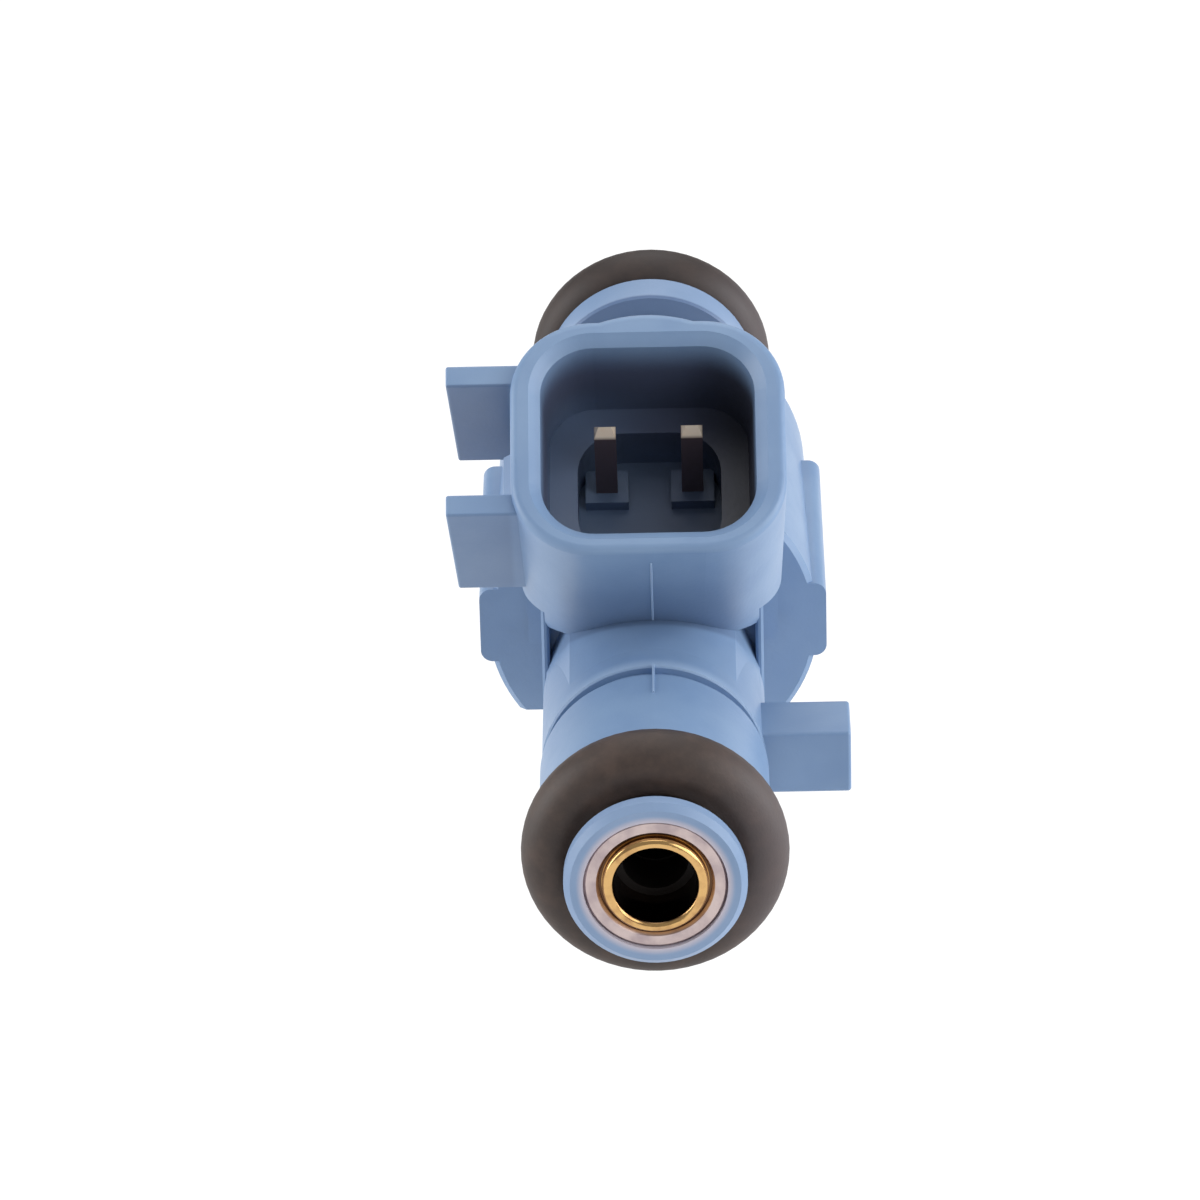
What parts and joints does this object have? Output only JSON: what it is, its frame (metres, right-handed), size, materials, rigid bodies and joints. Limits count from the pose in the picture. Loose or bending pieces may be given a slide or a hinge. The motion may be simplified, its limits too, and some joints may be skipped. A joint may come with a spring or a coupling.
{
  "type": "fuel injector",
  "caption": "Port fuel injector: plastic housing with a leaning connector tower, sealed inlet and nozzle ends, and a coil-driven ball valve inside.",
  "frame": {"origin": "centre of the upper seal ring, on the injector's axis", "axes": "+Y along the injector's axis from the fuel inlet to the nozzle; +Z towards the connector tower; +X completes the frame, towards the square ear"},
  "size_m": [0.022, 0.0705, 0.0309],
  "materials": {
    "housing_plastic": "satin",
    "ring_plastic": "satin",
    "seal_rubber": "satin",
    "tube_steel": "satin",
    "filter_brass": "polished",
    "filter_plastic": "matte",
    "magnet_steel": "satin",
    "spring_steel": "satin",
    "bobbin_plastic": "matte",
    "copper_wire": "satin",
    "contact_gold": "polished",
    "valve_steel": "polished",
    "cap_plastic": "satin"
  },
  "bodies": {
    "injector_body": {"overmold_housing": "housing_plastic", "inlet_end_ring": "ring_plastic", "upper_o_ring": "seal_rubber", "fuel_inlet_tube": "tube_steel", "filter_ring": "filter_brass", "filter_cage": "filter_plastic", "filter_mesh": "filter_plastic", "pole_core": "magnet_steel", "adjusting_sleeve": "spring_steel", "return_spring": "spring_steel", "nonmagnetic_sleeve": "tube_steel", "coil_bobbin": "bobbin_plastic", "coil_winding": "copper_wire", "flux_washer": "magnet_steel", "magnet_housing": "tube_steel", "left_terminal": "contact_gold", "right_terminal": "contact_gold", "valve_body": "tube_steel", "valve_seat": "valve_steel", "orifice_plate": "valve_steel", "plate_retainer": "tube_steel", "lower_collar": "ring_plastic", "lower_o_ring": "seal_rubber", "nozzle_cap": "cap_plastic"},
    "needle_assembly": {"armature": "magnet_steel", "valve_needle": "valve_steel", "valve_ball": "valve_steel"}
  },
  "joints": [
    {"name": "needle_lift", "type": "slide", "parent": "injector_body", "child": "needle_assembly", "axis": [0, -1, 0], "range_m": [0, 0.0001], "stiffness_N_per_m": 2000, "springref_m": -0.00175}
  ]
}
